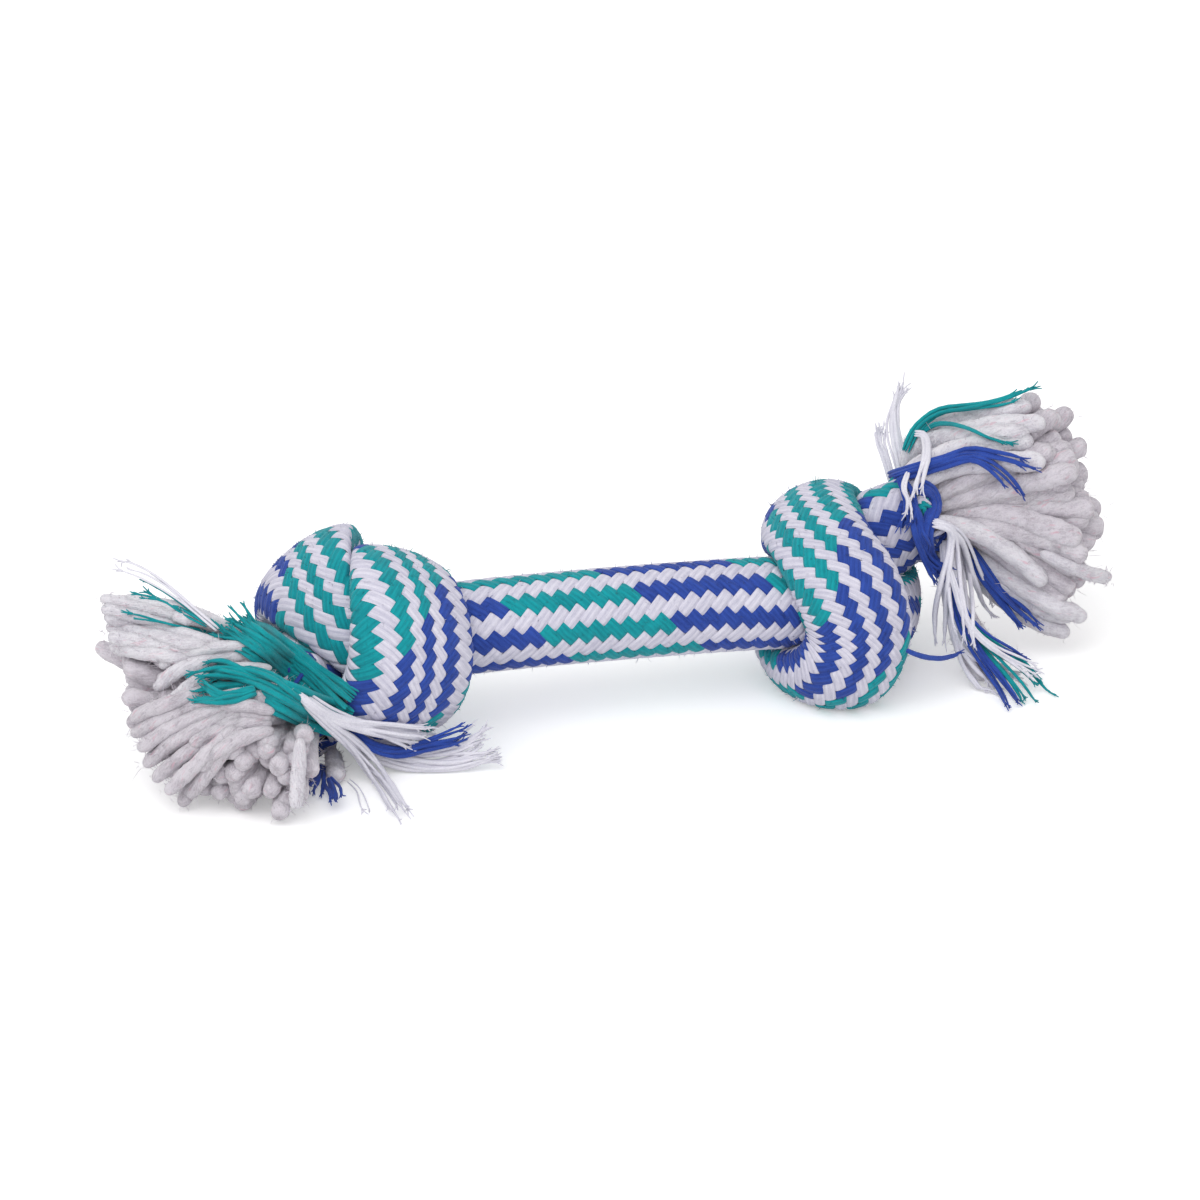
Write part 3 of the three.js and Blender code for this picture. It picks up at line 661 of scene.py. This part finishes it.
# core yarns that lie over a tassel by themselves, each with its radius
looseYarns = {
    "leftSide": [
        (0.0018, [(245, 684), (205, 692), (165, 704), (132, 718)]),
        (0.0018, [(245, 690), (205, 703), (166, 718), (134, 734)]),
        (0.0018, [(245, 697), (206, 713), (168, 730), (138, 750)]),
        (0.0018, [(243, 704), (208, 724), (172, 744), (144, 766)]),
        (0.0018, [(242, 711), (210, 736), (178, 760), (153, 781)]),
        (0.0018, [(243, 718), (216, 746), (188, 772), (166, 794)]),
        (0.0018, [(246, 724), (222, 754), (200, 782), (180, 804)]),
        (0.0019, [(275, 712), (245, 705), (205, 706), (178, 712)]),
        (0.0019, [(272, 718), (245, 714), (210, 719), (184, 728)]),
        (0.0019, [(272, 724), (246, 724), (214, 733), (190, 746)]),
        (0.0019, [(274, 730), (248, 736), (220, 750), (200, 768)]),
    ],
    "leftLitPale": [
        (0.0018, [(268, 658), (240, 655), (205, 661), (176, 672), (154, 690)]),
        (0.0016, [(272, 668), (240, 668), (208, 676), (184, 690), (168, 704)]),
        (0.0015, [(262, 650), (232, 646), (200, 650), (172, 658), (160, 668)]),
        (0.0018, [(300, 738), (299, 765), (297, 790), (296, 808)]),
        (0.0022, [(328, 744), (334, 762), (336, 780)]),
        (0.0016, [(236, 632), (200, 620, 47), (150, 608, 43), (100, 598, 40)]),
        (0.0018, [(228, 638), (190, 627), (140, 616, 43), (101, 608, 41)]),
        (0.0019, [(222, 644), (180, 634), (135, 624), (104, 616, 42)]),
        (0.0019, [(220, 650), (175, 641), (135, 633), (106, 626)]),
        (0.0019, [(215, 656), (170, 648), (130, 641), (108, 635)]),
        (0.002, [(215, 662), (170, 656), (134, 650), (114, 646)]),
        (0.0017, [(246, 636), (216, 622, 49), (188, 611, 46), (150, 603, 43), (124, 598, 41)]),
        (0.0019, [(252, 642), (225, 629), (198, 619, 48), (172, 616, 46)]),
    ],
    "rightLitPale": [
        (0.0026, [(904, 466), (920, 436), (955, 419), (1000, 411), (1032, 406)]),
        (0.0026, [(906, 474), (932, 444), (972, 430), (1020, 424), (1046, 424)]),
        (0.0025, [(908, 482), (940, 456), (985, 444), (1034, 442)]),
        (0.0026, [(912, 490), (945, 470), (990, 462), (1046, 462)]),
        (0.0026, [(940, 545), (972, 556), (1008, 584), (1044, 608), (1074, 618)]),
        (0.0026, [(936, 550), (965, 566), (1000, 594), (1040, 616)]),
        (0.0024, [(930, 520), (968, 528), (1010, 552), (1046, 584)]),
        (0.0018, [(1040, 552), (1070, 566), (1098, 576), (1112, 577)]),
        (0.0028, [(900, 470), (912, 452), (940, 440), (985, 437), (1030, 432)]),
        (0.0026, [(902, 476), (925, 462), (960, 452), (1010, 450)]),
        (0.0026, [(903, 470), (915, 440), (945, 424), (990, 418)]),
        (0.0024, [(960, 545), (1000, 572), (1050, 604), (1086, 618)]),
        (0.0024, [(955, 560), (1000, 596), (1040, 622), (1070, 634)]),
        (0.0018, [(940, 536, -8), (946, 580), (956, 630), (970, 664), (990, 682)]),
        (0.0017, [(944, 536, -8), (952, 580), (968, 632), (984, 660), (1004, 672)]),
        (0.0016, [(950, 540, -9), (960, 590), (976, 626), (996, 648), (1020, 660)]),
    ],
}


def fromPhoto(x, y, near):
    # a place from where it shows in the photograph and how near the viewer it is
    azimuth = math.radians(photoView["azimuth"])
    elevation = math.radians(photoView["elevation"])
    right = np.array([math.cos(azimuth), math.sin(azimuth), 0.0])
    forward = np.array([
        -math.sin(azimuth) * math.cos(elevation), math.cos(azimuth) * math.cos(elevation), -math.sin(elevation)
    ])
    upward = np.cross(right, forward)
    size = 36 / (1200 * photoView["lens"]) * (photoView["distance"] - near)
    return np.array(photoView["target"]) + right * (x - 600) * size + upward * (600 - y) * size - forward * near


def restingPath(places, trees, lift):
    # places closer together, dropped along the line of sight onto what lies under them, never under the floor
    eye = fromPhoto(600, 600, photoView["distance"])
    given = np.array([[place[0], place[1], place[2] * 0.001 if len(place) > 2 else np.nan] for place in places])
    seen = smoothPath(given[:, :2], 3)
    wanted = np.interp(np.linspace(0, 1, len(seen)), np.linspace(0, 1, len(given)), given[:, 2])
    middle = fromPhoto(600, 600, 0.0)
    toViewer = unit(eye - middle)
    nears = []
    for (x, y), near in zip(seen, wanted):
        sight = Vector(unit(fromPhoto(x, y, 0.0) - eye))
        hits = [tree.ray_cast(Vector(eye), sight)[0] for tree in trees]
        hits = [np.dot(np.array(hit) - middle, toViewer) for hit in hits if hit is not None]
        nears.append(near if near == near else max(hits) + lift if hits else np.nan)
    nears = np.array(nears)
    slope = fromPhoto(600, 600, 1.0)[2] - fromPhoto(600, 600, 0.0)[2]
    floors = np.array([(0.0012 - fromPhoto(x, y, 0.0)[2]) / slope for x, y in seen])
    known = np.flatnonzero(nears == nears)
    if len(known):
        nears = np.interp(range(len(nears)), known, nears[known])
        highest = np.maximum(nears, np.maximum(np.append(nears[1:], nears[-1]), np.append(nears[0], nears[:-1])))
        nears = np.maximum(softened(highest, 1.2) if len(nears) > 6 else highest, floors)
    else:
        nears = floors
    return np.array([fromPhoto(x, y, near) for (x, y), near in zip(seen, nears)])


def bundleStrands(path, plan, seed):
    # threads that leave close together, splay towards their cut ends and come apart there
    chance = random.Random(seed)
    forward = unit(fromPhoto(600, 600, 0.0) - fromPhoto(600, 600, 1.0))
    aside = unit(np.cross(np.gradient(path, axis=0), forward))
    shares = np.linspace(0, 1, len(path))[:, None]
    low, high = plan["spread"]
    strands = []
    for k in range(plan["threads"]):
        across = (k + 0.5) / plan["threads"] * 2 - 1 + chance.uniform(-0.2, 0.2)
        depth = chance.uniform(0.0, 1.0) * math.sqrt(max(0.0, 1 - across**2))
        wave = np.array([chance.gauss(0, fray["wave"]) for _ in range(3)])
        roam = chance.gauss(0, 0.22) * np.sin(shares * chance.uniform(3, 6) + chance.uniform(0, 6))
        line = path + aside * (across + roam) * lerp(low, high, shares**1.5)
        line = line - forward * depth * lerp(low, low * 0.5, shares)
        line = line + wave * np.sin(shares * chance.uniform(4, 8) + chance.uniform(0, 6)) * shares
        cut = chance.uniform(0.86, 1.02)
        line = sampleAt(np.linspace(0, cut, len(path)) * runAlong(line)[-1], runAlong(line), line)
        radius = plan["radius"] * chance.uniform(0.65, 1.1)
        strands.append({"path": line, "radii": [radius, radius, radius, radius * 0.85], "number": k + seed * 0.13,
                        "twist": 700.0, "lumps": 0.12})
        ending = unit(line[-1] - line[-2])
        for _ in range(fray["tipFibres"]):
            astray = np.array([chance.gauss(0, 0.2) for _ in range(3)])
            length = fray["tipLength"] * chance.uniform(0.5, 1.2)
            start = line[-1] - ending * 0.001 + astray * radius
            strands.append({
                "path": np.array([start, start + (ending + astray * 0.4) * length * 0.5, start + (ending + astray) * length]),
                "radii": [fray["tipRadius"] * 1.6, fray["tipRadius"]], "number": k + seed * 0.13, "twist": 700.0,
            })
    return strands


fringe = {"reach": 0.16, "threads": 4, "radius": 0.0007}


def fringeStrands(form, side, numbers, hand, seed):
    # the cut ends of the sleeve's own yarns, loose over the root of the tassel
    chance = random.Random(seed)
    fan = Fan(form, side)
    cell = braidCells(form)[fan.last]
    strands = []
    for number in numbers:
        column = number + 0.5 - cell if hand == "right" else cell - number - 0.5
        turn = math.radians((column - braid["facingColumn"]) * 360 / 16 + braid["facingTurn"]) + form.twist[fan.last]
        outward = form.side[fan.last] * math.cos(turn) + form.up[fan.last] * math.sin(turn)
        across, upward = outward.dot(fan.rootAcross), outward.dot(fan.rootUpward)
        edge = fan.curve(across, upward)
        edge = sampleAt(np.linspace(0, fringe["reach"] * chance.uniform(0.5, 1.1), 5), np.linspace(0, 1, 7), edge)
        shares = np.linspace(0, 1, 5)[:, None]
        skin = surfacePoints(form, form.run[[fan.last]], np.array([turn]), np.array([-0.0008]))[0]
        start = skin - fan.along * 0.004
        line = edge + (skin - edge[0]) * (1 - shares) + outward * (0.0012 + 0.001 * shares)
        line[1:] += np.array([chance.gauss(0, 0.0008) for _ in range(3)]) * shares[1:]
        line = np.concatenate([[start], line])
        for _ in range(fringe["threads"]):
            astray = np.array([chance.gauss(0, 0.0011) for _ in range(3)])
            radius = fringe["radius"] * chance.uniform(0.8, 1.1)
            strands.append({"path": line + astray * np.linspace(0, 1.6, len(line))[:, None], "number": number + 0.5,
                            "radii": [radius, radius, radius * 0.7], "twist": 700.0})
    return strands


class Field:
    # a socket, so that sums on it can be written as Python
    def __init__(self, look, socket):
        self.look = look
        self.socket = socket

    def maths(self, operation, *values):
        return self.look.add("ShaderNodeMath", {"operation": operation}, dict(enumerate(values)))

    def __add__(self, other):
        return self.maths("ADD", self, other)

    def __radd__(self, other):
        return self.maths("ADD", other, self)

    def __sub__(self, other):
        return self.maths("SUBTRACT", self, other)

    def __rsub__(self, other):
        return self.maths("SUBTRACT", other, self)

    def __mul__(self, other):
        return self.maths("MULTIPLY", self, other)

    def __rmul__(self, other):
        return self.maths("MULTIPLY", other, self)

    def __pow__(self, other):
        return self.maths("POWER", self, other)

    def sine(self):
        return self.maths("SINE", self)

    def size(self):
        return self.maths("ABSOLUTE", self)


class Look:
    # one material and the nodes in it
    def __init__(self, name):
        self.material = bpy.data.materials.new(name)
        self.material.use_nodes = True
        self.nodes = self.material.node_tree.nodes
        self.links = self.material.node_tree.links
        self.shader = self.nodes["Principled BSDF"]

    def add(self, kind, settings=None, inputs=None, output=0):
        node = self.nodes.new(kind)
        for name, value in (settings or {}).items():
            if name == "stops":
                for element, (place, shade) in zip(node.color_ramp.elements, value):
                    element.position = place
                    element.color = (shade, shade, shade, 1.0)
            else:
                setattr(node, name, value)
        for key, value in (inputs or {}).items():
            self.feed(node.inputs[key], value)
        return Field(self, node.outputs[output])

    def feed(self, socket, value):
        if isinstance(value, Field):
            self.links.new(value.socket, socket)
        else:
            socket.default_value = value

    def set(self, **inputs):
        for name, value in inputs.items():
            self.feed(self.shader.inputs[name.replace("_", " ")], value)

    def mixColour(self, share, low, high):
        return self.add("ShaderNodeMix", {"data_type": "RGBA"}, {0: share, 6: low, 7: high}, 2)

    def noise(self, vector, scale, detail=2.0, roughness=0.5):
        return self.add("ShaderNodeTexNoise", {}, {"Vector": vector, "Scale": scale, "Detail": detail,
                                                   "Roughness": roughness})


def srgb(red, green, blue):
    # a colour picked on screen, as the light values that a shader takes
    def light(value):
        value = value / 255
        return value / 12.92 if value <= 0.04045 else ((value + 0.055) / 1.055) ** 2.4
    return (light(red), light(green), light(blue), 1.0)


def cottonLook(name, colour, shade, fibres, threads=0.0, bump=0.5, bumpDepth=0.0003, patches=0.35, fine=0.35, fleck=None,
               soft=0.0):
    # cotton that runs along its own yarn: fine fibres, yarn to yarn difference and soft patches
    look = Look(name)
    strand = look.add("ShaderNodeAttribute", {"attribute_name": "strand"}, {}, 1)
    number = look.add("ShaderNodeAttribute", {"attribute_name": "yarnNumber"}, {}, 2)
    place = look.add("ShaderNodeTexCoord", {}, {}, 3)
    across = look.add("ShaderNodeSeparateXYZ", {}, {0: strand}, 0)
    round_ = look.add("ShaderNodeSeparateXYZ", {}, {0: strand}, 1)
    along = look.add("ShaderNodeSeparateXYZ", {}, {0: strand}, 2)
    lanes = look.add("ShaderNodeCombineXYZ", {}, {0: across * fibres, 1: round_ * fibres, 2: along * 0.55 + number * 17.3})
    fibre = look.noise(lanes, 1.0, 4.0, 0.65)
    patch = look.noise(place, 240.0, 3.0, 0.6)
    fuzz = look.noise(place, 2600.0, 2.0, 0.7)
    own = look.add("ShaderNodeTexWhiteNoise", {"noise_dimensions": "1D"}, {"W": number})
    light = fibre * 0.9 + patch * patches + fuzz * fine + own * 0.12
    if threads:
        lane = (across * threads * math.pi + (along * 0.9 + number).sine() * 0.5).sine()
        light = light + lane * 0.1
    share = look.add("ShaderNodeMapRange", {}, {0: light, 1: 0.375 + fine / 2, 2: 0.975 + fine / 2})
    body = look.mixColour(share, shade, colour)
    if fleck:
        streak = look.add("ShaderNodeMapRange", {}, {0: look.noise(lanes, 0.43, 3.0, 0.6), 1: 0.61, 2: 0.7, 4: 0.5})
        body = look.mixColour(streak, body, fleck)
    look.set(Base_Color=body, Roughness=fibre * 0.15 + 0.8)
    look.shader.inputs["Sheen Weight"].default_value = 0.15 + soft
    look.shader.inputs["Subsurface Weight"].default_value = soft
    look.shader.inputs["Subsurface Radius"].default_value = (1.0, 0.9, 0.9)
    look.shader.inputs["Subsurface Scale"].default_value = 0.0015
    look.shader.inputs["Sheen Roughness"].default_value = 0.5
    look.shader.inputs["Specular IOR Level"].default_value = 0.2
    relief = fibre * 0.7 + fuzz * 0.45
    if threads:
        relief = relief + lane * 0.24
    normal = look.add("ShaderNodeBump", {}, {"Strength": bump, "Distance": bumpDepth, "Height": relief})
    look.set(Normal=normal)
    return look.material


whiteCotton = cottonLook("whiteCotton", srgb(226, 223, 235), srgb(178, 176, 196), 5.0, threads=2.0, bump=0.35)
tealCotton = cottonLook("tealCotton", srgb(18, 158, 166), srgb(4, 112, 124), 5.0, threads=2.5, bump=0.6, patches=0.5)
blueCotton = cottonLook("blueCotton", srgb(52, 82, 172), srgb(30, 52, 124), 5.0, threads=2.5, bump=0.6, patches=0.5)
coreCotton = cottonLook("coreCotton", srgb(225, 219, 227), srgb(156, 146, 158), 4.0, bump=0.9, bumpDepth=0.0009,
                        patches=0.7, fine=0.5, fleck=srgb(222, 166, 184), soft=0.25)
# painted light: a lighter copy of coreCotton, fleck and all, for the same core yarns laid over the tassels
paintedLightCotton = cottonLook("paintedLightCotton", srgb(238, 235, 242), srgb(182, 174, 187), 4.0, bump=0.9, bumpDepth=0.0009,
                        patches=0.7, fine=0.5, fleck=srgb(228, 172, 190), soft=0.25)
fuzzCotton = cottonLook("fuzzCotton", srgb(222, 216, 224), srgb(186, 178, 190), 2.2, bump=0.2)
# the loose white is a lighter copy of whiteCotton: painted light that lifts the thin threads over the shade falling
# between them
looseCotton = {
    "white": cottonLook("looseWhitePaintedLight", srgb(246, 244, 251), srgb(208, 206, 220), 5.0, bump=0.5),
    "teal": cottonLook("looseTeal", srgb(18, 162, 168), srgb(4, 116, 128), 5.0, bump=0.6, patches=0.6),
    "blue": cottonLook("looseBlue", srgb(54, 86, 180), srgb(28, 50, 126), 5.0, bump=0.6, patches=0.6),
}
# painted shade: the lining is a dark blue-grey, much darker than the pale core it stands for, so the gaps between
# stitches show as shade
liningPaintedShade = cottonLook("liningPaintedShade", srgb(70, 78, 110), srgb(34, 38, 60), 4.0, bump=0.3)
print("cotton materials made")

form = ropeForm()
print("rope form:", round(form.run[-1], 3), "m")

liningPiece = buildLining(form)
liningPiece.data.materials.append(liningPaintedShade)
pathPoints = sampleAt(np.linspace(0, form.run[-1], 160), form.run, form.centre)
pathPoints = [tuple(float(value) for value in point) for point in pathPoints]
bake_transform(liningPiece)
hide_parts("left_knot_sleeve", "left_knot_core", "centre_sleeve", "centre_core",
            "right_knot_sleeve", "right_knot_core")
print("lining made")

stretches = {
    "LeftKnot": (0.0, form.faces["leftFace"], "left_half"),
    "Centre": (form.faces["leftFace"], form.faces["rightFace"], None),
    "RightKnot": (form.faces["rightFace"], form.run[-1], "right_half"),
}
hands = {
    "white": ("right", range(16), whiteCotton, "white_yarn"),
    "teal": ("left", range(8), tealCotton, "teal_yarn"),
    "blue": ("left", range(8, 16), blueCotton, "blue_yarn"),
}
braids = []
for colour, (hand, numbers, material, finish) in hands.items():
    for stretch, (startRun, endRun, body) in stretches.items():
        piece = buildYarns(form, colour + "Braid" + stretch, hand, numbers, startRun, endRun)
        braids.append(piece)
        piece.data.materials.append(material)
        if body:
            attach(piece, body)
        else:
            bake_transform(piece)
        piece = braidFuzz(form, colour + "Fuzz" + stretch, hand, numbers, body, 7)
        piece.data.materials.append(material)
        if body:
            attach(piece, body)
        else:
            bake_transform(piece)
    print(colour, "braid made")

tassels = []
for side, seed in (("left", 5), ("right", 11)):
    strands = tasselStrands(form, side, seed)
    piece = buildStrands(side + "Tassel", strands, 14, 40)
    piece.data.materials.append(coreCotton)
    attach(piece, side + "_half")
    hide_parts(side + "_tassel_yarns")
    tassels.append(piece)
    piece = tasselFuzz(side + "TasselFuzz", strands, seed)
    piece.data.materials.append(fuzzCotton)
    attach(piece, side + "_half")
print("tassels made")

bpy.context.view_layer.update()
trees = [BVHTree.FromObject(piece, bpy.context.evaluated_depsgraph_get()) for piece in tassels + braids]
paleTrees = []
for name, plans in looseYarns.items():
    strands = []
    for k, (radius, places) in enumerate(plans):
        radii = [radius * 0.65, radius * 0.95, radius, radius * 0.95]
        strands.append({"path": restingPath(places, trees, radius * 0.5), "radii": radii, "number": k + 0.7,
                        "lumps": tasselYarn["lumps"], "blunt": 12, "twist": 150.0})
    piece = buildStrands(name + "Yarns", strands, 14, 40)
    # the pale yarns take the lighter copy of the core cotton as painted light, the others the core cotton itself
    piece.data.materials.append(paintedLightCotton if name.endswith("Pale") else coreCotton)
    paleTrees.append(BVHTree.FromObject(piece, bpy.context.evaluated_depsgraph_get()))
    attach(piece, "left_half" if name.startswith("left") else "right_half")
    piece = tasselFuzz(name + "Fuzz", strands, 4)
    piece.data.materials.append(fuzzCotton)
    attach(piece, "left_half" if name.startswith("left") else "right_half")
trees += paleTrees
for seed, (name, plan) in enumerate(frays.items()):
    strands = []
    for k, bundle in enumerate(plan["bundles"]):
        strands += bundleStrands(restingPath(bundle["path"], trees, fray["lift"]), bundle, seed * 10 + k)
    piece = buildStrands(name, strands, 6, 22)
    piece.data.materials.append(looseCotton[plan["colour"]])
    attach(piece, "left_half" if name.startswith("left") else "right_half")
    if plan["stands"]:
        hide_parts(plan["stands"])
    trees.append(BVHTree.FromObject(piece, bpy.context.evaluated_depsgraph_get()))
for colour, (hand, numbers, material, finish) in hands.items():
    for side in ("left", "right"):
        piece = buildStrands(side + colour.capitalize() + "Fringe", fringeStrands(form, side, numbers, hand, 3), 6, 16)
        piece.data.materials.append(material)
        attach(piece, side + "_half")
print("frayed bundles made")

# floor and light
studio = {"floorHalf": 3.0, "world": 0.78, "keyPower": 9.0, "keySize": 1.2, "keyPlace": (-0.5, -0.7, 1.2)}


def addStudio():
    bm = bmesh.new()
    bmesh.ops.create_grid(bm, x_segments=4, y_segments=4, size=studio["floorHalf"])
    mesh = bpy.data.meshes.new("floor")
    bm.to_mesh(mesh)
    bm.free()
    floor = bpy.data.objects.new("floor", mesh)
    bpy.context.collection.objects.link(floor)
    look = Look("floorPaper")
    look.shader.inputs["Roughness"].default_value = 0.9
    look.shader.inputs["Specular IOR Level"].default_value = 0.1
    grain = look.noise(look.add("ShaderNodeTexCoord", {}, {}, 3), 60.0, 3.0)
    look.set(Base_Color=look.mixColour(grain * 0.1, (0.93, 0.93, 0.93, 1.0), (0.9, 0.9, 0.9, 1.0)))
    seen = look.add("ShaderNodeLightPath", {}, {}, 0)
    look.shader.inputs["Emission Strength"].default_value = 0.28
    look.set(Emission_Color=look.mixColour(seen, (0, 0, 0, 1), (1, 1, 1, 1)))
    mesh.materials.append(look.material)

    world = bpy.data.worlds.new("studioWorld")
    bpy.context.scene.world = world
    world.use_nodes = True
    nodes, links = world.node_tree.nodes, world.node_tree.links
    plain = nodes["Background"]
    plain.inputs["Color"].default_value = (1, 1, 1, 1)
    plain.inputs["Strength"].default_value = studio["world"]
    white = nodes.new("ShaderNodeBackground")
    white.inputs["Color"].default_value = (1, 1, 1, 1)
    white.inputs["Strength"].default_value = 1.0
    path = nodes.new("ShaderNodeLightPath")
    mix = nodes.new("ShaderNodeMixShader")
    links.new(path.outputs["Is Camera Ray"], mix.inputs[0])
    links.new(plain.outputs[0], mix.inputs[1])
    links.new(white.outputs[0], mix.inputs[2])
    links.new(mix.outputs[0], nodes["World Output"].inputs[0])

    data = bpy.data.lights.new("keyLight", "AREA")
    data.energy = studio["keyPower"]
    data.size = studio["keySize"]
    lamp = bpy.data.objects.new("keyLight", data)
    lamp.location = studio["keyPlace"]
    lamp.rotation_euler = (Vector((0, 0, 0.02)) - Vector(studio["keyPlace"])).to_track_quat("-Z", "Y").to_euler()
    bpy.context.collection.objects.link(lamp)
    bpy.context.scene.view_settings.view_transform = "Standard"


addStudio()
print("studio made")
